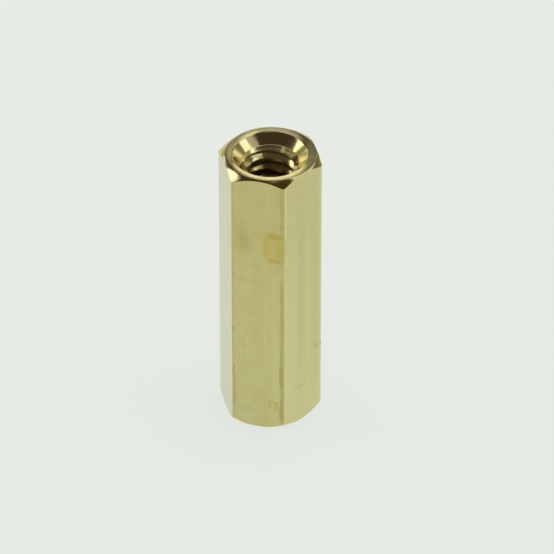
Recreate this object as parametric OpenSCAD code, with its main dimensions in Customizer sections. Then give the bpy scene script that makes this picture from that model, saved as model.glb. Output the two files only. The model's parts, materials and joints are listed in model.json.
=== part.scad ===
// Hex standoff with a tapped hole right through it.
// One length of hexagon bar, faced and chamfered at both ends, drilled, countersunk and tapped.
// It stands on its lower end. The fine thread itself is not cut here: the bore is its drilled size.

/* [Hexagon bar] */
// Width of the bar across its flats
across_flats = 4.7625; // [4:0.0125:9]
// Length over the two end faces
bar_length = 15.875; // [6:0.125:40]
// Radius that rounds the six long corners of the drawn bar
corner_radius = 0.25; // [0.05:0.01:0.6]

/* [Turned ends] */
// How far inside the flats the turned chamfer starts on each end face
chamfer_inset = 0.10; // [0.02:0.01:0.4]
// Slope of the upper chamfer, measured from the end face
upper_chamfer_angle = 35; // [15:1:60]
// Slope of the lower chamfer, measured from the end face
lower_chamfer_angle = 41; // [15:1:60]
// Width of the flat ring left between the chamfer and the countersink
end_ring_width = 0.36; // [0.05:0.01:0.5]

/* [Tapped hole] */
// Diameter drilled for the tap, which is the thread's crest diameter
drilled_diameter = 2.26; // [1.6:0.01:2.8]
// Full angle of the countersink at each mouth
countersink_angle = 90; // [60:1:120]

/* [Hidden] */
$fn = 96;
// How far a cutter runs past the face it cuts
overrun = 0.5;
// Distance from the bar's axis to the centre of each rounded corner, and to its outermost line
corner_centre = (across_flats - 2 * corner_radius) / sqrt(3);
corner_reach = corner_centre + corner_radius;
// Radius of the end face, and of the countersink's mouth in it
end_face_radius = across_flats / 2 - chamfer_inset;
mouth_radius = end_face_radius - end_ring_width;
// Depth at which the countersink has narrowed to the drilled hole
countersink_depth = (mouth_radius - drilled_diameter / 2) / tan(countersink_angle / 2);

// Section of the drawn bar: six flats whose corners are rounded.
module bar_section() {
    // each flat ends where its corner's arc begins
    polygon([for (corner = [0:60:300], side = [-30, 30])
        corner_centre * [cos(corner), sin(corner)]
        + corner_radius * [cos(corner + side), sin(corner + side)]]);
    for (corner = [0:60:300])
        rotate(corner) translate([corner_centre, 0]) circle(r = corner_radius);
}

// What the lathe leaves: a cylinder wider than the bar, with a cone turned on each end.
module turned_envelope() {
    envelope_radius = corner_reach + overrun;
    cone_width = envelope_radius - end_face_radius;
    rotate_extrude()
        polygon([
            [0, 0],
            [end_face_radius, 0],
            [envelope_radius, cone_width * tan(lower_chamfer_angle)],
            [envelope_radius, bar_length - cone_width * tan(upper_chamfer_angle)],
            [end_face_radius, bar_length],
            [0, bar_length]
        ]);
}

// Cutter for one mouth, standing on the end face and pointing down into the bar.
module countersink() {
    widening = overrun * tan(countersink_angle / 2);
    translate([0, 0, -countersink_depth])
        cylinder(h = countersink_depth + overrun,
                 r1 = drilled_diameter / 2, r2 = mouth_radius + widening);
}

module standoff() {
    color([0.80, 0.76, 0.50])
    difference() {
        intersection() {
            linear_extrude(bar_length) bar_section();
            turned_envelope();
        }
        translate([0, 0, -overrun]) cylinder(h = bar_length + 2 * overrun, d = drilled_diameter);
        translate([0, 0, bar_length]) countersink();
        mirror([0, 0, 1]) countersink();
    }
}

standoff();
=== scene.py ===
# %% [markdown]
# # A brass hex standoff
# A hex standoff is a short spacer that holds two panels apart. It starts as drawn hexagon bar. A
# lathe faces and chamfers each end, a drill makes the hole, a countersink opens its two mouths and
# a tap cuts the thread. This lesson makes it in that order, so that each surface gets the edges and
# the marks of the tool that made it.
#
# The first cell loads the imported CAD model. Everything after it is in metres, in the same frame as
# the CAD.

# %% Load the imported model
import json
import math

import bpy
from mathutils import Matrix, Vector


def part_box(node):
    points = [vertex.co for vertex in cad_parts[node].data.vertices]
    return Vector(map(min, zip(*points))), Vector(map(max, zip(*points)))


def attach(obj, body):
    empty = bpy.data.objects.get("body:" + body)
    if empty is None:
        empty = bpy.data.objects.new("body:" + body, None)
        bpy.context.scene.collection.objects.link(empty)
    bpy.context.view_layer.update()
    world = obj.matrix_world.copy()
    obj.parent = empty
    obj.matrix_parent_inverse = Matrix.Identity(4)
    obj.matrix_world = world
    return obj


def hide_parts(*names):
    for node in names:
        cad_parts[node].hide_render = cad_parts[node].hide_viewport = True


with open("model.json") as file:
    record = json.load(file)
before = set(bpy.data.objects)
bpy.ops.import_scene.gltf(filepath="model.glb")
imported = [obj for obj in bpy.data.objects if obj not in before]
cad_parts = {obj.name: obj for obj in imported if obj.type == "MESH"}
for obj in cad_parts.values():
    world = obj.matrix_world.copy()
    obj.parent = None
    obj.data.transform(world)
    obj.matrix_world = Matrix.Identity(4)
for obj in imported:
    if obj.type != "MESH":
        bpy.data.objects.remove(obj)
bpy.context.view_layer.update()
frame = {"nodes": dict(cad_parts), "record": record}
bpy.ops.object.select_all(action="DESELECT")

# %% [markdown]
# ## Sizes
# Every size of the bar is read off the CAD part, so the looks always fit it. The width across the
# flats and the length are sides of its box. The turned ends are cones, so the radii of their edges
# are distances from the axis. Only the thread isn't in the CAD: it is the standard 4-40 form that
# fits the CAD's drilled hole. Places that are closer than `touching` count as the same place, and
# corners closer than `merge_distance` are merged.

# %% Read the sizes off the CAD part
mm = 0.001
touching = 0.001 * mm
merge_distance = 0.0001 * mm
cad_corners = [vertex.co for vertex in frame["nodes"]["standoff"].data.vertices]
box_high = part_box("standoff")[1]
bar_length = box_high.z
across_flats = 2 * box_high.y
corner_reach = box_high.x
sharp_reach = across_flats / math.sqrt(3)
corner_radius = (sharp_reach - corner_reach) / (2 / math.sqrt(3) - 1)

end_face_radii = [co.xy.length for co in cad_corners if co.z > bar_length - touching]
end_radius = max(end_face_radii)
mouth_radius = min(end_face_radii)
corner_heights = [co.z for co in cad_corners if co.xy.length > corner_reach - touching]
upper_slope = (bar_length - max(corner_heights)) / (corner_reach - end_radius)
lower_slope = min(corner_heights) / (corner_reach - end_radius)

mounts = {mount["name"]: mount for mount in frame["record"]["mounts"]}
drilled_radius = mounts["upper_thread"]["dims"]["r_mm"] * mm
countersink_depth = bar_length - mounts["upper_thread"]["pos_m"][2]

thread_pitch = 0.635 * mm
thread_radius = 2.845 / 2 * mm
print("bar in mm:", round(bar_length / mm, 3), "long,",
      round(across_flats / mm, 4), "across its flats,",
      round(corner_radius / mm, 3), "corner radius")
print("ring radii in mm:", round(end_radius / mm, 3), round(mouth_radius / mm, 3),
      "countersink depth:", round(countersink_depth / mm, 3))

# %% [markdown]
# ## Two helpers for working by hand
# Most steps choose some edges or faces by their place, and then run one tool on them. `choose` does
# the choosing and leaves the piece in edit mode. `apply` adds one modifier with its settings, and
# makes it part of the mesh.

# %% Helpers
def choose(piece, kind, test):
    """Selects the edges or faces whose corners' places pass a test, and stays in edit mode."""
    if bpy.context.mode != "OBJECT":
        bpy.ops.object.mode_set(mode="OBJECT")
    bpy.ops.object.select_all(action="DESELECT")
    piece.select_set(True)
    bpy.context.view_layer.objects.active = piece
    bpy.ops.object.mode_set(mode="EDIT")
    bpy.ops.mesh.select_mode(type="EDGE" if kind == "edges" else "FACE")
    bpy.ops.mesh.select_all(action="DESELECT")
    bpy.ops.object.mode_set(mode="OBJECT")
    places = [vertex.co for vertex in piece.data.vertices]
    items = piece.data.edges if kind == "edges" else piece.data.polygons
    for item in items:
        item.select = test([places[number] for number in item.vertices])
    bpy.ops.object.mode_set(mode="EDIT")
    return sum(item.select for item in items)


def apply(piece, kind, **settings):
    """Adds a modifier with these settings and applies it."""
    bpy.ops.object.select_all(action="DESELECT")
    piece.select_set(True)
    bpy.context.view_layer.objects.active = piece
    modifier = piece.modifiers.new(kind.lower(), kind)
    for setting, value in settings.items():
        setattr(modifier, setting, value)
    bpy.ops.object.modifier_apply(modifier=modifier.name)


def finish_mesh(piece):
    """Merges doubled corners, points every face outwards and returns to object mode."""
    choose(piece, "faces", lambda corners: True)
    bpy.ops.mesh.remove_doubles(threshold=merge_distance)
    bpy.ops.mesh.normals_make_consistent(inside=False)
    bpy.ops.object.mode_set(mode="OBJECT")


# %% [markdown]
# ## Three finishes
# Each face keeps the finish of the tool that made it: the die, the lathe or the tap. A Boolean
# hands over the material of the shape that cuts, so the three materials are made before the
# shapes. They get their nodes later.

# %% Name the finishes
def plain_material(name):
    """A new material with Blender's own first nodes: one Principled shader and the output."""
    material = bpy.data.materials.new(name)
    material.use_nodes = True
    return material


drawn_brass = plain_material("drawn brass")
turned_brass = plain_material("turned brass")
tapped_brass = plain_material("tapped brass")
print("finishes:", [finish.name for finish in (drawn_brass, turned_brass, tapped_brass)])

# %% [markdown]
# ## The drawn bar
# The bar is a six-sided cylinder. Blender puts a cylinder's first corner on the Y axis, so it is
# turned 30 degrees to bring a corner onto X, as in the CAD. Drawing the bar through a die leaves
# its six long corners slightly round, which a bevel makes. The bar is left long, because the lathe
# cuts its ends.

# %% Draw the bar
overrun = 0.5 * mm
corner_setback = corner_radius * math.tan(math.radians(30))
bpy.ops.mesh.primitive_cylinder_add(
    vertices=6, radius=sharp_reach, depth=bar_length + 2 * overrun,
    location=(0, 0, bar_length / 2), rotation=(0, 0, math.radians(30)))
bar = bpy.context.object
bpy.ops.object.transform_apply(location=True, rotation=True, scale=True)
long_corners = choose(bar, "edges", lambda ends: abs(ends[0].z - ends[1].z) > bar_length)
bpy.ops.mesh.bevel(offset=corner_setback, segments=6, affect="EDGES")
finish_mesh(bar)
bar.data.materials.append(drawn_brass)
print("long corners rounded:", long_corners, "faces:", len(bar.data.polygons))

# %% [markdown]
# ## The turned ends
# The lathe work is one solid of revolution: a wide cylinder whose ends are drawn in to a cone, a
# ring and a countersink. Each end starts as the cylinder's flat cap. Extruding it, moving it along
# the axis and scaling it about the axis makes one band of the end at a time. What lies inside both
# this solid and the bar is the blank.
#
# A turner faces the ring slightly hollow, so that it seats on its outer edge. Beside the ring the
# chamfer starts with a narrow lip of a flatter slope. The countersinking tool leaves a faint ring
# wherever it dwells, which is a narrow band that is flatter still. Below the first of these rings
# the tap has drawn the cone a little steeper.

# %% Sizes of the turned ends
lathe_steps = 192
envelope_radius = corner_reach + overrun
ring_hollow = math.tan(math.radians(9))
lip_width = 0.12 * mm
lip_slope = math.tan(math.radians(21))
countersink_slope = countersink_depth / (mouth_radius - drilled_radius)
dwell_width = 0.025 * mm
dwell_flatness = 0.2
lead_slope = math.tan(math.radians(52))
countersink_bottom_radius = 0.3 * drilled_radius
end_bands = [(mouth_radius, ring_hollow)]
for dwell_radius, slope in ((1.47 * mm, countersink_slope), (1.32 * mm, lead_slope)):
    end_bands.append((dwell_radius, slope))
    end_bands.append((dwell_radius - dwell_width, dwell_flatness * slope))
end_bands.append((countersink_bottom_radius, lead_slope))
print("radii of the bands inside each ring, in mm:", [round(band[0] / mm, 3) for band in end_bands])


# %% Turn the ends
def turn_band(from_radius, to_radius, along):
    """Extrudes the chosen cap into one more band of the end, and leaves the new cap chosen."""
    bpy.ops.mesh.extrude_region_move(TRANSFORM_OT_translate={"value": (0, 0, along)})
    shrink = to_radius / from_radius
    bpy.ops.transform.resize(value=(shrink, shrink, 1), center_override=(0, 0, 0))


lower_corner = (corner_reach - end_radius) * lower_slope
upper_corner = (corner_reach - end_radius) * upper_slope


def shoulder_depth(corner_depth):
    """How far from the end face a cone from the lip, through the bar's corner, meets the cylinder."""
    lip_depth = lip_width * lip_slope
    slope = (corner_depth - lip_depth) / (corner_reach - end_radius - lip_width)
    return corner_depth + (envelope_radius - corner_reach) * slope


lower_shoulder = shoulder_depth(lower_corner)
upper_shoulder = bar_length - shoulder_depth(upper_corner)
bpy.ops.object.select_all(action="DESELECT")
bpy.ops.mesh.primitive_cylinder_add(
    vertices=lathe_steps, radius=envelope_radius, depth=upper_shoulder - lower_shoulder,
    location=(0, 0, (upper_shoulder + lower_shoulder) / 2))
turned = bpy.context.object
bpy.ops.object.transform_apply(location=True, rotation=True, scale=True)
for inwards, shoulder, face in ((-1, upper_shoulder, bar_length), (1, lower_shoulder, 0)):
    choose(turned, "faces", lambda corners: all(abs(co.z - shoulder) < touching for co in corners))
    lip_radius = end_radius + lip_width
    lip_height = face + inwards * lip_width * lip_slope
    turn_band(envelope_radius, lip_radius, lip_height - shoulder)
    turn_band(lip_radius, end_radius, face - lip_height)
    radius = end_radius
    for next_radius, slope in end_bands:
        turn_band(radius, next_radius, inwards * (radius - next_radius) * slope)
        radius = next_radius
    bpy.ops.object.mode_set(mode="OBJECT")
finish_mesh(turned)
print("turned faces:", len(turned.data.polygons))

# %% [markdown]
# A turned edge is never quite sharp. The two edges of each ring get a round, which catches the
# light as a thin bright line. Then each end is set about a tenth of a millimetre off the axis of
# the bar, because a chuck holds drawn bar no better than that. The countersinking tool wanders too,
# so each mouth is moved a little more. That is why the chamfer and the ring show wider on one side
# than on the other.

# %% Break the edges of the rings and set the ends off centre
outer_round = 0.035 * mm
mouth_round = 0.04 * mm
round_segments = 4
upper_run_out = (0.07 * mm, 0.03 * mm)
lower_run_out = (-0.08 * mm, -0.04 * mm)
mouth_shift = (-0.07 * mm, 0.01 * mm)
ring_hollow_depth = (end_radius - mouth_radius) * ring_hollow


def on_circle(radius, height):
    """A test for edges that lie on one circle about the axis."""
    return lambda ends: all(
        abs(end.xy.length - radius) < touching and abs(end.z - height) < touching for end in ends)


for height, inwards in ((0, 1), (bar_length, -1)):
    mouth_height = height + inwards * ring_hollow_depth
    mouth_edges = choose(turned, "edges", on_circle(mouth_radius, mouth_height))
    bpy.ops.mesh.bevel(offset=mouth_round, segments=round_segments, affect="EDGES")
    outer_edges = choose(turned, "edges", on_circle(end_radius, height))
    bpy.ops.mesh.bevel(offset=outer_round, segments=round_segments, affect="EDGES")
    bpy.ops.object.mode_set(mode="OBJECT")
    print("edges rounded at height", round(height / mm, 3), "mm:", mouth_edges, "and", outer_edges)
finish_mesh(turned)
mouth_reach = mouth_radius + mouth_round + touching
for run_out, upper in ((upper_run_out, True), (lower_run_out, False)):
    choose(turned, "faces", lambda corners: all(
        (co.z > bar_length / 2) == upper and co.xy.length < mouth_reach for co in corners))
    bpy.ops.transform.translate(value=(*mouth_shift, 0))
    choose(turned, "faces", lambda corners: all((co.z > bar_length / 2) == upper for co in corners))
    bpy.ops.transform.translate(value=(*run_out, 0))
    bpy.ops.object.mode_set(mode="OBJECT")
turned.data.materials.append(turned_brass)

# %% Cut the bar to the turned shape
apply(bar, "BOOLEAN", object=turned, operation="INTERSECT",
      solver="EXACT", material_mode="TRANSFER")
bpy.data.objects.remove(turned)
finish_mesh(bar)
print("faces of the blank:", len(bar.data.polygons), "materials:", [m.name for m in bar.data.materials])

# %% [markdown]
# Loose parts knock against each other in the bag, mostly on their long corners. Each dent is a
# small ball that is set a little more than half out of the corner and cut away. They are made as
# one object, so that one Boolean cuts them all. Each row gives the corner's heading in degrees, the
# dent's height and the ball's radius in mm.

# %% Dent the long corners
standing_out = 0.55
dent_stretch = 1.4
dents = [
    (240, 3.45, 0.10), (240, 5.95, 0.07), (300, 3.90, 0.07), (0, 4.30, 0.13),
    (120, 9.60, 0.09), (60, 2.40, 0.08), (180, 11.80, 0.08), (120, 4.20, 0.06),
]
dent_tools = []
for corner, height_mm, size_mm in dents:
    reach = corner_reach + standing_out * size_mm * mm
    turn = math.radians(corner)
    bpy.ops.mesh.primitive_ico_sphere_add(
        subdivisions=3, radius=size_mm * mm, scale=(1, 1, dent_stretch),
        location=(reach * math.cos(turn), reach * math.sin(turn), height_mm * mm))
    bpy.ops.object.transform_apply(location=True, rotation=True, scale=True)
    dent_tools.append(bpy.context.object)
bpy.ops.object.select_all(action="DESELECT")
for tool in dent_tools:
    tool.select_set(True)
bpy.context.view_layer.objects.active = dent_tools[0]
bpy.ops.object.join()
dent_tool = bpy.context.object
dent_tool.data.materials.append(drawn_brass)
apply(bar, "BOOLEAN", object=dent_tool, operation="DIFFERENCE",
      solver="EXACT", material_mode="TRANSFER")
bpy.data.objects.remove(dent_tool)
finish_mesh(bar)
print("faces with the dents:", len(bar.data.polygons))

# %% [markdown]
# ## The thread
# The tap is modelled as a solid screw: one turn of its outline, swept up a helix by the Screw
# modifier, and cut flat at both ends so that it is closed. Its core has the drilled radius, so
# taking the tap away from the blank makes the hole and the thread in one cut. A 60 degree thread
# has straight flanks between a narrow root and a wider crest. The outline starts in the middle of
# the core, and its two ends meet as the turns join. A tap also breaks the edges of the crests, so
# each has a 45 degree facet above and below, which catches the light.

# %% Draw the tap's outline
flank_rise = math.tan(math.radians(30))
flank_run = (thread_radius - drilled_radius) * flank_rise
groove_bottom = 0.12 * thread_pitch
core_land = (thread_pitch - groove_bottom - 2 * flank_run) / 2
facet_width = 0.10 * mm
facet_up = facet_width * flank_rise
half_outline = [
    (drilled_radius, 0),
    (drilled_radius, core_land - facet_width + facet_up),
    (drilled_radius + facet_width, core_land + facet_up),
    (thread_radius, core_land + flank_run),
]
other_half = [(radius, thread_pitch - height) for radius, height in reversed(half_outline)]
tap_outline = half_outline + other_half
print("outline of one turn in mm:", [(round(r / mm, 3), round(h / mm, 3)) for r, h in tap_outline])

# %% Make the tap
thread_steps = 96
tap_run_out = (0.04 * mm, 0.03 * mm)
thread_start = -0.08 * mm
spare_turns = 3
turns = math.ceil(bar_length / thread_pitch) + 2 * spare_turns
cut_tolerance = 0.00001 * mm

bpy.ops.object.select_all(action="DESELECT")
first_height = thread_start - spare_turns * thread_pitch
bpy.ops.mesh.primitive_plane_add(size=mm, location=(drilled_radius, 0, first_height))
tap = bpy.context.object
bpy.ops.object.transform_apply(location=True, rotation=True, scale=True)
bpy.ops.object.mode_set(mode="EDIT")
bpy.ops.mesh.select_mode(type="VERT")
bpy.ops.mesh.select_all(action="SELECT")
bpy.ops.mesh.merge(type="CENTER")
for here, there in zip(tap_outline, tap_outline[1:]):
    step = (there[0] - here[0], 0, there[1] - here[1])
    bpy.ops.mesh.extrude_region_move(TRANSFORM_OT_translate={"value": step})
bpy.ops.object.mode_set(mode="OBJECT")
apply(tap, "SCREW", axis="Z", angle=2 * math.pi, screw_offset=thread_pitch, iterations=turns,
      steps=thread_steps, render_steps=thread_steps,
      use_merge_vertices=True, merge_threshold=merge_distance)
choose(tap, "faces", lambda corners: True)
bpy.ops.mesh.remove_doubles(threshold=merge_distance)
bpy.ops.object.mode_set(mode="OBJECT")
for height, above in ((-overrun, False), (bar_length + overrun, True)):
    choose(tap, "faces", lambda corners: True)
    bpy.ops.mesh.bisect(plane_co=(0, 0, height), plane_no=(0, 0, 1), use_fill=True,
                        clear_inner=not above, clear_outer=above, threshold=cut_tolerance)
    bpy.ops.object.mode_set(mode="OBJECT")
choose(tap, "faces", lambda corners: True)
bpy.ops.transform.translate(value=(*tap_run_out, 0))
finish_mesh(tap)
tap.data.materials.append(tapped_brass)
loose = sum(1 for edge in tap.data.edges if edge.is_loose)
print("tap faces:", len(tap.data.polygons), "loose edges:", loose)

# %% Cut the thread
apply(bar, "BOOLEAN", object=tap, operation="DIFFERENCE",
      solver="EXACT", material_mode="TRANSFER")
bpy.data.objects.remove(tap)
finish_mesh(bar)
standoff = bar
standoff.name = "hex_standoff"
standoff.data.name = "hex_standoff"
print("faces of the standoff:", len(standoff.data.polygons))

# %% Shade it
sharpest_smooth_edge = math.radians(24)
bpy.ops.object.shade_smooth_by_angle(angle=sharpest_smooth_edge)
apply(standoff, "WEIGHTED_NORMAL", mode="FACE_AREA", weight=50, keep_sharp=True)
print("corners of the standoff:", len(standoff.data.vertices))

# %% [markdown]
# ## Tools for building materials
# Each finish is a tree of shader nodes. A few small helpers keep the trees readable: `feed` fills a
# socket with a number or with another node's output, `calculate` is one Math node, and `rise` is a
# smooth step between two levels. `new_effect` starts a node group that several finishes can share,
# and `use_effect` places it in one of them. All patterns are placed by Object coordinates, which
# stay with the piece, and are measured in millimetres.

# %% Node helpers
def feed(tree, socket, value):
    """Links another node's output to a socket, or sets the socket's own value."""
    if isinstance(value, bpy.types.NodeSocket):
        tree.links.new(value, socket)
    else:
        socket.default_value = value


def calculate(tree, operation, *values):
    """One Math node; returns its result."""
    node = tree.nodes.new("ShaderNodeMath")
    node.operation = operation
    for socket, value in zip(node.inputs, values):
        feed(tree, socket, value)
    return node.outputs[0]


def weaken(tree, mask, share):
    """A mask that reaches only a share of its strength."""
    return calculate(tree, "MULTIPLY", mask, share)


def spread(tree, value, low, high):
    """Turns 0 to 1 into low to high."""
    return calculate(tree, "MULTIPLY_ADD", value, high - low, low)


def rise(tree, value, low, high):
    """Goes smoothly from 0 to 1 as the value goes from low to high."""
    node = tree.nodes.new("ShaderNodeMapRange")
    node.interpolation_type = "SMOOTHSTEP"
    for socket, setting in (("Value", value), ("From Min", low), ("From Max", high)):
        feed(tree, node.inputs[socket], setting)
    return node.outputs["Result"]


def blend(tree, share, first, second, blend_type="MIX"):
    """Mixes two colours by a share from 0 to 1."""
    node = tree.nodes.new("ShaderNodeMix")
    node.data_type = "RGBA"
    node.blend_type = blend_type
    for number, value in ((0, share), (6, first), (7, second)):
        feed(tree, node.inputs[number], value)
    return node.outputs[2]


# %% Pattern helpers
def place_in_mm(tree, stretch=(1, 1, 1)):
    """The place on the piece in millimetres, scaled along each axis."""
    place = tree.nodes.new("ShaderNodeTexCoord")
    scaled = tree.nodes.new("ShaderNodeMapping")
    scaled.inputs["Scale"].default_value = [factor / mm for factor in stretch]
    tree.links.new(place.outputs["Object"], scaled.inputs["Vector"])
    return scaled.outputs["Vector"]


def parts_of(tree, vector):
    """The X, Y and Z of a vector."""
    split = tree.nodes.new("ShaderNodeSeparateXYZ")
    feed(tree, split.inputs[0], vector)
    return split.outputs[0], split.outputs[1], split.outputs[2]


def noise(tree, place, scale, detail=3.0, roughness=0.5):
    """Soft noise between 0 and 1 with a feature size of about 1 / scale."""
    node = tree.nodes.new("ShaderNodeTexNoise")
    settings = {"Vector": place, "Scale": scale, "Detail": detail, "Roughness": roughness}
    for socket, value in settings.items():
        feed(tree, node.inputs[socket], value)
    return node.outputs["Fac"]


def combine(tree, operation, first, second):
    """One Vector Math node; returns its vector."""
    node = tree.nodes.new("ShaderNodeVectorMath")
    node.operation = operation
    feed(tree, node.inputs[0], first)
    feed(tree, node.inputs[1], second)
    return node.outputs["Vector"]


# %% Effect helpers
def new_effect(name, inputs, outputs):
    """A node group with named inputs and outputs; returns its tree and the sockets of both ends."""
    tree = bpy.data.node_groups.new(name, "ShaderNodeTree")
    for label, kind, value in inputs:
        socket = tree.interface.new_socket(label, in_out="INPUT", socket_type="NodeSocket" + kind)
        socket.default_value = value
    for label in outputs:
        tree.interface.new_socket(label, in_out="OUTPUT", socket_type="NodeSocketFloat")
    return tree, tree.nodes.new("NodeGroupInput").outputs, tree.nodes.new("NodeGroupOutput").inputs


def use_effect(tree, effect, **values):
    """Places an effect in a material with its own values; returns its outputs."""
    node = tree.nodes.new("ShaderNodeGroup")
    node.node_tree = effect
    for label, value in values.items():
        feed(tree, node.inputs[label], value)
    return node.outputs


# %% Shader helpers
def add_relief(tree, shader, relief, strength, distance):
    """Lets a pattern tilt the surface, as if it stood out by the distance."""
    bump = tree.nodes.new("ShaderNodeBump")
    bump.inputs["Strength"].default_value = strength
    bump.inputs["Distance"].default_value = distance
    feed(tree, bump.inputs["Height"], relief)
    feed(tree, shader.inputs["Normal"], bump.outputs["Normal"])


def spread_gloss_around(tree, shader):
    """Makes the shader bare metal whose gloss spreads along a tangent that runs round the axis."""
    around = tree.nodes.new("ShaderNodeTangent")
    around.direction_type = "RADIAL"
    around.axis = "Z"
    feed(tree, shader.inputs["Tangent"], around.outputs[0])
    shader.inputs["Metallic"].default_value = 1
    shader.inputs["Anisotropic"].default_value = 0.5


# %% [markdown]
# ## Effects that the finishes share
# - **Drawing lines** are the fine scratches that the die leaves along the bar. They are noise
#   stretched far along Z.
# - **Mottle** is the cloudy change of colour that bare brass gets as it dulls.
# - **Turning marks** are the fine rings that the lathe tool leaves. They depend only on the
#   distance from the axis and on the height, so they follow the faces, the cones and the hole
#   alike.

# %% Drawing lines
drawing_lines, given, result = new_effect(
    "drawing lines", [("Spacing", "Float", 0.08), ("Length", "Float", 5.0)], ["Lines"])
tree = drawing_lines
x, y, z = parts_of(tree, place_in_mm(tree))
run = calculate(tree, "DIVIDE", calculate(tree, "MULTIPLY", z, given["Spacing"]), given["Length"])
stretched = tree.nodes.new("ShaderNodeCombineXYZ")
for socket, value in zip(stretched.inputs, (x, y, run)):
    feed(tree, socket, value)
fineness = calculate(tree, "DIVIDE", 1.0, given["Spacing"])
feed(tree, result["Lines"], noise(tree, stretched.outputs[0], fineness, detail=2.0, roughness=0.6))
print(tree.name + ":", len(tree.nodes), "nodes")

# %% Mottle
mottle, given, result = new_effect("mottle", [("Size", "Float", 2.0)], ["Cloud", "Grain"])
tree = mottle
place = place_in_mm(tree)
cloudiness = calculate(tree, "DIVIDE", 1.0, given["Size"])
cloud = noise(tree, place, cloudiness, detail=4.0, roughness=0.55)
feed(tree, result["Cloud"], rise(tree, cloud, 0.3, 0.7))
graininess = calculate(tree, "MULTIPLY", cloudiness, 9.0)
grain = noise(tree, place, graininess, detail=3.0, roughness=0.6)
feed(tree, result["Grain"], rise(tree, grain, 0.3, 0.7))
print(tree.name + ":", len(tree.nodes), "nodes")

# %% Turning marks
turning_marks, given, result = new_effect("turning marks", [("Spacing", "Float", 0.03)], ["Rings"])
tree = turning_marks
x, y, z = parts_of(tree, place_in_mm(tree))
flat_place = tree.nodes.new("ShaderNodeCombineXYZ")
for socket, value in zip(flat_place.inputs, (x, y, 0.0)):
    feed(tree, socket, value)
reach = tree.nodes.new("ShaderNodeVectorMath")
reach.operation = "LENGTH"
tree.links.new(flat_place.outputs[0], reach.inputs[0])
tool_path = calculate(tree, "SUBTRACT", reach.outputs["Value"], z)
rings = tree.nodes.new("ShaderNodeTexNoise")
rings.noise_dimensions = "1D"
rings.inputs["Scale"].default_value = 1.0
rings.inputs["Detail"].default_value = 2.0
feed(tree, rings.inputs["W"], calculate(tree, "DIVIDE", tool_path, given["Spacing"]))
feed(tree, result["Rings"], rings.outputs["Fac"])
print(tree.name + ":", len(tree.nodes), "nodes")

# %% [markdown]
# ## Corner bands and stains
# - **Corner bands** are darker olive stripes beside the long corners of every other flat, with a
#   paler line on the other side of each corner. They are thinner and fainter towards -X. The sine
#   of three times the angle round the axis is 0 on every long corner and changes sign there, so it
#   tells both how near a corner is and which side it is on.
# - **Stain** is one patch of tarnish with a ragged outline. Its box-like shape comes from a high
#   power of the distance, and noise shifts the place first, so that no edge is straight.

# %% Corner bands
corner_bands, given, result = new_effect(
    "corner bands",
    [("Width", "Float", 0.17), ("Raggedness", "Float", 0.08)],
    ["Dark", "Pale", "Blotch"])
tree = corner_bands
x, y, _ = parts_of(tree, place_in_mm(tree))
angle = calculate(tree, "ARCTAN2", y, x)
side = calculate(tree, "SINE", calculate(tree, "MULTIPLY", angle, 3.0))
wander = noise(tree, place_in_mm(tree, (1, 1, 0.4)), 0.9, detail=3.0)
shift = calculate(tree, "MULTIPLY", calculate(tree, "SUBTRACT", wander, 0.5), given["Raggedness"])
ragged_side = calculate(tree, "ADD", side, shift)
band_strength = spread(tree, rise(tree, x, -1.5, 1.0), 0.4, 1.0)
width_start = calculate(tree, "MULTIPLY", given["Width"], band_strength)
width_end = calculate(tree, "MULTIPLY", width_start, 1.3)
inside = calculate(tree, "SUBTRACT", 1.0, rise(tree, ragged_side, width_start, width_end))
band = calculate(tree, "MULTIPLY", inside, rise(tree, side, -0.07, 0.0))
darkness = spread(tree, band_strength, 0.5, 1.0)
feed(tree, result["Dark"], calculate(tree, "MULTIPLY", band, darkness))
pale_start = calculate(tree, "SUBTRACT", 1.0, rise(tree, side, -0.08, -0.04))
pale_end = rise(tree, side, -0.24, -0.16)
feed(tree, result["Pale"], calculate(tree, "MULTIPLY", pale_start, pale_end))
blotch = noise(tree, place_in_mm(tree, (1, 1, 0.7)), 2.2, detail=4.0, roughness=0.6)
feed(tree, result["Blotch"], rise(tree, blotch, 0.50, 0.62))
print(tree.name + ":", len(tree.nodes), "nodes")

# %% Stain
stain, given, result = new_effect(
    "stain",
    [("Centre", "Vector", (0, 0, 0)), ("Reach", "Vector", (1, 1, 1)), ("Raggedness", "Float", 0.3),
     ("Softness", "Float", 0.3)],
    ["Patch", "Outline"])
tree = stain
place = place_in_mm(tree)
ragged = tree.nodes.new("ShaderNodeTexNoise")
ragged.inputs["Scale"].default_value = 3.0
tree.links.new(place, ragged.inputs["Vector"])
centred_noise = combine(tree, "SUBTRACT", ragged.outputs["Color"], (0.5, 0.5, 0.5))
scaled_noise = tree.nodes.new("ShaderNodeVectorMath")
scaled_noise.operation = "SCALE"
feed(tree, scaled_noise.inputs[0], centred_noise)
feed(tree, scaled_noise.inputs["Scale"], given["Raggedness"])
moved = combine(tree, "ADD", place, scaled_noise.outputs["Vector"])
from_centre = combine(tree, "DIVIDE", combine(tree, "SUBTRACT", moved, given["Centre"]), given["Reach"])
boxiness = 3
total = 0.0
for part in parts_of(tree, from_centre):
    power = calculate(tree, "POWER", calculate(tree, "ABSOLUTE", part), boxiness)
    total = calculate(tree, "ADD", total, power)
distance = calculate(tree, "POWER", total, 1 / boxiness)
patch_start = calculate(tree, "SUBTRACT", 1.0, given["Softness"])
patch = calculate(tree, "SUBTRACT", 1.0, rise(tree, distance, patch_start, 1.05))
middle = calculate(tree, "SUBTRACT", 1.0, rise(tree, distance, 0.55, 0.85))
feed(tree, result["Patch"], patch)
feed(tree, result["Outline"], calculate(tree, "SUBTRACT", patch, middle))
print(tree.name + ":", len(tree.nodes), "nodes")
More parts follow.
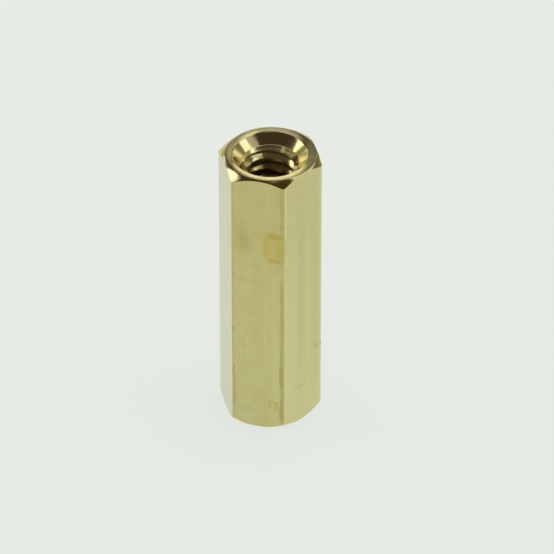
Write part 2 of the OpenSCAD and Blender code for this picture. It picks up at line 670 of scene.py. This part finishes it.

# %% [markdown]
# ## Drawn brass
# The flats of the bar are dulled yellow brass. Their colour wanders between a greener and a warmer
# tone, and the drawing lines show as a slight change of tone and as a fine relief. The side towards
# +X is paler, less so higher up, and the upper part is a little darker and yellower. Oil and
# tarnish mark the front flat most. The stains are placed one by one: each has a centre and a reach
# in millimetres, a raggedness, a softness, a tarnish and the strengths of its patch and of its
# outline.
#
# The tangent runs round the axis, across the drawing lines, and the positive anisotropy spreads the
# gloss that way. A thin coat stands for the film of drawing oil, which turns the flats pale where
# they are seen at a slant.

# %% Colours of drawn brass
green_brass = (0.605, 0.560, 0.232, 1)
warm_brass = (0.600, 0.520, 0.208, 1)
pale_brass = (0.705, 0.660, 0.295, 1)
band_olive = (0.515, 0.450, 0.148, 1)
tarnishes = {
    "cloud": (0.485, 0.420, 0.140, 1),
    "yellow": (0.580, 0.485, 0.118, 1),
    "olive": (0.490, 0.400, 0.078, 1),
    "orange": (0.535, 0.425, 0.105, 1),
    "brown": (0.380, 0.300, 0.100, 1),
    "grey": (0.545, 0.520, 0.215, 1),
    "bright": (0.650, 0.600, 0.255, 1),
    "plain": (0.602, 0.540, 0.222, 1),
}
half_flat = across_flats / 2 / mm
front = -half_flat
edge_x = sharp_reach / 2 / mm
print("the front flat in mm: y", round(front, 3), "and x up to", round(edge_x, 3))

# %% Places of the stains
# centre, reach, raggedness, softness, tarnish, strength of the patch, strength of the outline
stains = [
    ((-0.84, front, 12.25), (0.50, 0.6, 1.10), 0.14, 1.00, "cloud", 0.60, 0.00),
    ((-0.62, front, 11.75), (0.58, 0.6, 0.95), 0.14, 1.00, "cloud", 0.60, 0.00),
    ((-1.15, front, 11.70), (0.30, 0.6, 0.60), 0.40, 0.80, "yellow", 0.50, 0.00),
    ((-0.20, front, 10.45), (0.55, 0.6, 0.25), 0.40, 0.85, "yellow", 0.50, 0.00),
    ((-0.45, front, 9.50), (1.00, 0.6, 0.10), 0.25, 0.80, "cloud", 0.25, 0.00),
    ((0.66, front, 13.60), (0.07, 0.6, 0.90), 0.06, 0.80, "bright", 0.40, 0.00),
    ((0.85, front, 8.95), (0.08, 0.6, 1.20), 0.08, 0.80, "bright", 0.90, 0.00),
    ((1.05, front, 6.50), (0.10, 0.6, 3.60), 0.08, 0.80, "bright", 0.45, 0.00),
    ((0.84, front, 11.83), (0.66, 0.6, 1.05), 0.16, 0.35, "yellow", 1.00, 0.00),
    ((0.90, front, 12.52), (0.52, 0.6, 0.24), 0.20, 0.50, "olive", 0.95, 0.00),
    ((0.38, front, 11.80), (0.18, 0.6, 0.80), 0.18, 0.80, "olive", 0.35, 0.00),
    ((1.18, front, 11.60), (0.22, 0.6, 0.55), 0.20, 0.60, "orange", 0.85, 0.00),
    ((0.90, front, 10.95), (0.50, 0.6, 0.18), 0.18, 0.55, "orange", 0.95, 0.00),
    ((0.78, front, 11.50), (0.12, 0.6, 0.26), 0.14, 0.80, "bright", 0.55, 0.00),
    ((edge_x, front, 10.20), (0.30, 0.5, 0.75), 0.20, 0.70, "bright", 0.55, 0.00),
    ((edge_x - 0.14, front, 3.50), (0.13, 0.3, 1.00), 0.12, 0.60, "brown", 0.55, 0.00),
    ((edge_x - 0.14, front, 1.20), (0.13, 0.3, 0.60), 0.12, 0.60, "brown", 0.50, 0.00),
    ((-edge_x + 0.10, front, 2.20), (0.12, 0.3, 1.60), 0.12, 0.60, "brown", 0.35, 0.00),
    ((-edge_x + 0.06, front, 6.20), (0.10, 0.3, 0.20), 0.12, 0.60, "brown", 0.50, 0.00),
    ((-edge_x + 0.08, front, 3.65), (0.08, 0.3, 0.12), 0.10, 0.60, "brown", 0.80, 0.00),
    ((-edge_x + 0.06, front, 9.70), (0.08, 0.3, 0.14), 0.10, 0.60, "brown", 0.60, 0.00),
    ((0.80, front, 1.58), (0.28, 0.6, 0.30), 0.08, 0.30, "yellow", 0.60, 0.95),
    ((0.78, front, 1.34), (0.19, 0.6, 0.32), 0.05, 0.40, "plain", 1.00, 0.00),
    ((-0.55, front, 1.05), (0.45, 0.6, 0.42), 0.60, 0.90, "grey", 0.75, 0.00),
    ((-0.58, front, 6.10), (0.035, 0.6, 0.30), 0.04, 0.60, "cloud", 0.45, 0.00),
    ((-0.10, front, 6.15), (0.22, 0.6, 0.05), 0.10, 0.60, "cloud", 0.35, 0.00),
    ((2.02, -1.28, 8.50), (0.30, 0.52, 9.00), 0.03, 1.00, "grey", 0.60, 0.00),
    ((2.50, -0.44, 8.50), (0.40, 0.70, 9.00), 0.03, 1.00, "grey", 0.35, 0.00),
    ((1.95, -1.45, 2.30), (0.30, 0.5, 0.16), 0.50, 0.90, "cloud", 0.40, 0.00),
    ((2.56, -0.38, 4.35), (0.09, 0.3, 0.26), 0.20, 0.60, "brown", 0.35, 0.00),
    ((0.60, half_flat, 8.20), (0.75, 0.6, 1.10), 0.35, 0.90, "yellow", 0.60, 0.00),
    ((-1.90, 1.40, 5.10), (0.60, 0.9, 0.80), 0.35, 0.90, "cloud", 0.50, 0.00),
    ((1.95, 1.30, 12.40), (0.55, 0.8, 0.60), 0.35, 0.90, "olive", 0.30, 0.00),
]
print("stains:", len(stains))

# %% Drawn brass
broad_line_share = 0.45
foot_paleness_plus_x = 0.82
paleness_change_per_mm = -0.020
upper_tint = (0.955, 0.930, 0.860, 1)
pale_corner_share = 0.75
dark_corner_share = 0.90
brown_corner_share = 0.35
dullness_of_marks = 0.10
tree = drawn_brass.node_tree
shader = tree.nodes["Principled BSDF"]
fine_lines = use_effect(tree, drawing_lines, Spacing=0.05, Length=6.0)["Lines"]
broad_lines = use_effect(tree, drawing_lines, Spacing=0.45, Length=9.0)["Lines"]
clouds = use_effect(tree, mottle, Size=1.3)
bands = use_effect(tree, corner_bands)
colour = blend(tree, clouds["Cloud"], green_brass, warm_brass)
broad_streaks = weaken(tree, rise(tree, broad_lines, 0.50, 0.80), broad_line_share)
colour = blend(tree, broad_streaks, colour, pale_brass)
x, _, z = parts_of(tree, place_in_mm(tree))
paleness_share_plus_x = calculate(tree, "MULTIPLY_ADD", z, paleness_change_per_mm, foot_paleness_plus_x)
paler_plus_x_side = weaken(tree, rise(tree, x, 1.30, 1.45), paleness_share_plus_x)
colour = blend(tree, paler_plus_x_side, colour, pale_brass)
colour = blend(tree, rise(tree, z, 8.0, 14.0), colour, upper_tint, "MULTIPLY")
colour = blend(tree, 1.0, colour, spread(tree, fine_lines, 0.95, 1.05), "MULTIPLY")
colour = blend(tree, 1.0, colour, spread(tree, clouds["Grain"], 0.97, 1.03), "MULTIPLY")
colour = blend(tree, weaken(tree, bands["Pale"], pale_corner_share), colour, pale_brass)
colour = blend(tree, weaken(tree, bands["Dark"], dark_corner_share), colour, band_olive)
brown_spots = weaken(tree, bands["Dark"], bands["Blotch"])
colour = blend(tree, weaken(tree, brown_spots, brown_corner_share), colour, tarnishes["brown"])
dullness = weaken(tree, bands["Dark"], dullness_of_marks)
for centre, reach_mm, raggedness, softness, tarnish, patch_strength, outline_strength in stains:
    mark = use_effect(tree, stain, Centre=centre, Reach=reach_mm,
                      Raggedness=raggedness, Softness=softness)
    cover = weaken(tree, mark["Patch"], patch_strength)
    colour = blend(tree, cover, colour, tarnishes[tarnish])
    if outline_strength > 0:
        rim = weaken(tree, mark["Outline"], outline_strength)
        colour = blend(tree, rim, colour, tarnishes["olive"])
    dull_patch = weaken(tree, mark["Patch"], dullness_of_marks)
    dullness = calculate(tree, "MAXIMUM", dullness, dull_patch)
feed(tree, shader.inputs["Base Color"], colour)
print("colour of drawn brass:", len(tree.nodes), "nodes")

# %% Gloss and relief of drawn brass
broad_line_height = 1.2
roughness = spread(tree, clouds["Grain"], 0.19, 0.25)
feed(tree, shader.inputs["Roughness"], calculate(tree, "ADD", roughness, dullness))
relief = calculate(tree, "ADD", fine_lines, weaken(tree, broad_lines, broad_line_height))
add_relief(tree, shader, relief, 0.25, 0.004 * mm)
spread_gloss_around(tree, shader)
shader.inputs["Coat Weight"].default_value = 1.0
shader.inputs["Coat Roughness"].default_value = 0.15
print("drawn brass:", len(tree.nodes), "nodes")

# %% [markdown]
# ## Turned and tapped brass
# Freshly cut faces are brighter and smoother than the drawn flats. The turning marks run round the
# axis, so the gloss spreads across them, along the radius: the anisotropic rotation of a quarter
# turn does that. The thread is the same metal. Deeper in the hole its colour turns brown, which is
# painted shade.

# %% Turned brass
fresh_brass = (0.780, 0.680, 0.350, 1)
dull_brass = (0.680, 0.590, 0.300, 1)
quarter_turn = 0.25


def cut_brass(material, spacing, mark_depth, least_roughness):
    """The nodes that both cut finishes share; returns the tree, the shader and the colour."""
    tree = material.node_tree
    shader = tree.nodes["Principled BSDF"]
    rings = use_effect(tree, turning_marks, Spacing=spacing)["Rings"]
    clouds = use_effect(tree, mottle, Size=0.7)
    colour = blend(tree, clouds["Cloud"], fresh_brass, dull_brass)
    colour = blend(tree, 1.0, colour, spread(tree, rings, 0.82, 1.12), "MULTIPLY")
    roughness = spread(tree, clouds["Grain"], least_roughness, least_roughness + 0.08)
    feed(tree, shader.inputs["Roughness"], roughness)
    add_relief(tree, shader, rings, 0.4, mark_depth)
    spread_gloss_around(tree, shader)
    shader.inputs["Anisotropic Rotation"].default_value = quarter_turn
    return tree, shader, colour


tree, shader, colour = cut_brass(turned_brass, 0.03, 0.004 * mm, 0.09)
feed(tree, shader.inputs["Base Color"], colour)
print("turned brass:", len(tree.nodes), "nodes")

# %% Tapped brass
# Painted shade: the colour darkens to brown deeper in the hole.
hole_shade_brown = (0.36, 0.24, 0.075, 1)
tree, shader, colour = cut_brass(tapped_brass, 0.05, 0.002 * mm, 0.09)
z = parts_of(tree, place_in_mm(tree))[2]
middle_height = bar_length / 2 / mm
from_middle = calculate(tree, "ABSOLUTE", calculate(tree, "SUBTRACT", z, middle_height))
depth = calculate(tree, "SUBTRACT", middle_height, from_middle)
# Painted shade grows from 0.5 mm to 2.2 mm into the hole, up to three quarters brown.
painted_hole_shade = weaken(tree, rise(tree, depth, 0.5, 2.2), 0.75)
feed(tree, shader.inputs["Base Color"], blend(tree, painted_hole_shade, colour, hole_shade_brown))
shader.inputs["Metallic"].default_value = 0.92
print("tapped brass:", len(tree.nodes), "nodes")

# %% [markdown]
# ## Floor and light
# The standoff stands on a plain pale board that runs out to a pale backdrop. The camera, and the
# metal's reflections, mostly see the board's own colour. A small share of it is lit by the lamps,
# which carries the shadow. Polished metal shows only what it mirrors, so the lamps are chosen for
# their places. Two softboxes stand left and right and make the bright streaks in the countersink.
# The dimmer cards round them each fill one band of the mouth: the ring, the lip of the chamfer or a
# wall of the cone. The sky is pale near the horizon and dark above, as in a room with pale walls
# and unlit upper parts.

# %% Floor
pale = (0.79, 0.83, 0.78, 1)
own_share = 0.85
floor_size = 4.0


def seen_directly(tree):
    """1 for what the camera, a reflection or glass sees, and 0 for what light falls on."""
    path = tree.nodes.new("ShaderNodeLightPath")
    seen = path.outputs["Is Camera Ray"]
    for ray in ("Is Glossy Ray", "Is Transmission Ray"):
        seen = calculate(tree, "MAXIMUM", seen, path.outputs[ray])
    return seen


bpy.ops.object.select_all(action="DESELECT")
bpy.ops.mesh.primitive_plane_add(size=floor_size, location=(0, 0, 0))
floor = bpy.context.object
floor.name = "floor"
pale_board = plain_material("pale board")
tree = pale_board.node_tree
board = tree.nodes["Principled BSDF"]
board.inputs["Base Color"].default_value = pale
board.inputs["Roughness"].default_value = 0.9
board.inputs["Specular IOR Level"].default_value = 0.0
own_light = tree.nodes.new("ShaderNodeEmission")
own_light.inputs["Color"].default_value = pale
both = tree.nodes.new("ShaderNodeMixShader")
feed(tree, both.inputs[0], weaken(tree, seen_directly(tree), own_share))
feed(tree, both.inputs[1], board.outputs[0])
feed(tree, both.inputs[2], own_light.outputs[0])
feed(tree, tree.nodes["Material Output"].inputs["Surface"], both.outputs[0])
floor.data.materials.append(pale_board)
print("floor:", floor_size, "m wide")

# %% Sky
scene = bpy.context.scene
world = bpy.data.worlds.new("studio")
scene.world = world
world.use_nodes = True
tree = world.node_tree
direction = tree.nodes.new("ShaderNodeTexCoord")
height_above = parts_of(tree, direction.outputs["Generated"])[2]
sky = tree.nodes.new("ShaderNodeValToRGB")
feed(tree, sky.inputs[0], height_above)
stops = sky.color_ramp.elements
stops[0].position = 0.0
stops[0].color = (0.79, 0.82, 0.76, 1)
stops[1].position = 1.0
stops[1].color = (0.055, 0.040, 0.001, 1)
for position, shade in (
        (0.09, (0.66, 0.66, 0.48, 1)), (0.17, (0.48, 0.47, 0.28, 1)), (0.30, (0.36, 0.34, 0.18, 1)),
        (0.50, (0.16, 0.15, 0.10, 1)), (0.70, (0.045, 0.036, 0.036, 1))):
    stops.new(position).color = shade
even_light = (0.80, 0.81, 0.81, 1)
path = tree.nodes.new("ShaderNodeLightPath")
light = blend(tree, path.outputs["Is Glossy Ray"], even_light, sky.outputs["Color"])
light = blend(tree, path.outputs["Is Camera Ray"], light, pale)
feed(tree, tree.nodes["Background"].inputs["Color"], light)
print("colours of the sky:", len(stops))

# %% Lamps
def add_softbox(name, heading, elevation, across, high, distance, brightness):
    """An area lamp that faces the standoff's top from a heading and an elevation, in degrees."""
    turn, lift = math.radians(heading), math.radians(elevation)
    width = 2 * distance * math.tan(math.radians(across / 2))
    height = 2 * distance * math.tan(math.radians(high / 2))
    lamp = bpy.data.lights.new(name, "AREA")
    lamp.shape = "RECTANGLE"
    lamp.size = width
    lamp.size_y = height
    lamp.energy = brightness * math.pi * width * height
    holder = bpy.data.objects.new(name, lamp)
    scene.collection.objects.link(holder)
    holder.location = (distance * math.cos(turn) * math.cos(lift),
                       distance * math.sin(turn) * math.cos(lift),
                       distance * math.sin(lift) + bar_length)
    holder.rotation_euler = (math.radians(90 - elevation), 0, math.radians(heading + 90))
    holder.visible_camera = False


# name, heading, elevation, width and height as angles in degrees, distance in metres, brightness
lamps = [
    ("left softbox", 176, 38, 20, 26, 0.35, 1.7),
    ("left card", 148, 21, 16, 14, 0.40, 0.80),
    ("low card", 105, 18, 22, 14, 0.40, 0.80),
    ("back card", 108, 55, 30, 14, 0.40, 0.55),
    ("middle card", 88, 37, 16, 16, 0.40, 0.33),
    ("top card", 30, 88, 9, 9, 0.40, 0.40),
    ("far card", 118, 36, 12, 14, 0.40, 0.12),
    ("side card", 56, 10, 16, 13, 0.40, 0.60),
    ("right softbox", 16, 32, 30, 17, 0.35, 1.4),
    ("right card", -8, 44, 22, 14, 0.40, 0.50),
    ("lower right card", -7, 27, 16, 9, 0.40, 1.10),
    ("high card", 45, 55, 50, 28, 0.40, 0.80),
    ("front card", 228, 35, 12, 8, 0.40, 0.40),
]
for lamp in lamps:
    add_softbox(*lamp)
print("lamps:", [lamp[0] for lamp in lamps])

# %% [markdown]
# ## Camera
# The camera looks down on the standoff from the front, a little to its right. Its lens is long, but
# it stands near enough for the bar to narrow slightly towards its foot.

# %% Camera
camera_heading = math.radians(15.34)
camera_elevation = math.radians(37.5)
camera_distance = 260.8 * mm
camera_lens = 329.2
aim = (0.325 * mm, 0.148 * mm, 7.99 * mm)
camera_data = bpy.data.cameras.new("camera")
camera_data.sensor_width = 36
camera_data.lens = camera_lens
camera = bpy.data.objects.new("camera", camera_data)
scene.collection.objects.link(camera)
back = (math.sin(camera_heading) * math.cos(camera_elevation),
        -math.cos(camera_heading) * math.cos(camera_elevation),
        math.sin(camera_elevation))
camera.location = [aim[i] + camera_distance * back[i] for i in range(3)]
camera.rotation_euler = (math.pi / 2 - camera_elevation, 0, camera_heading)
scene.camera = camera
scene.view_settings.view_transform = "Standard"
print("camera at, in mm:", [round(side / mm, 1) for side in camera.location])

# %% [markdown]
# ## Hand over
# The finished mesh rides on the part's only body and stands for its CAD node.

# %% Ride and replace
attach(standoff, "root")
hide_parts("standoff")
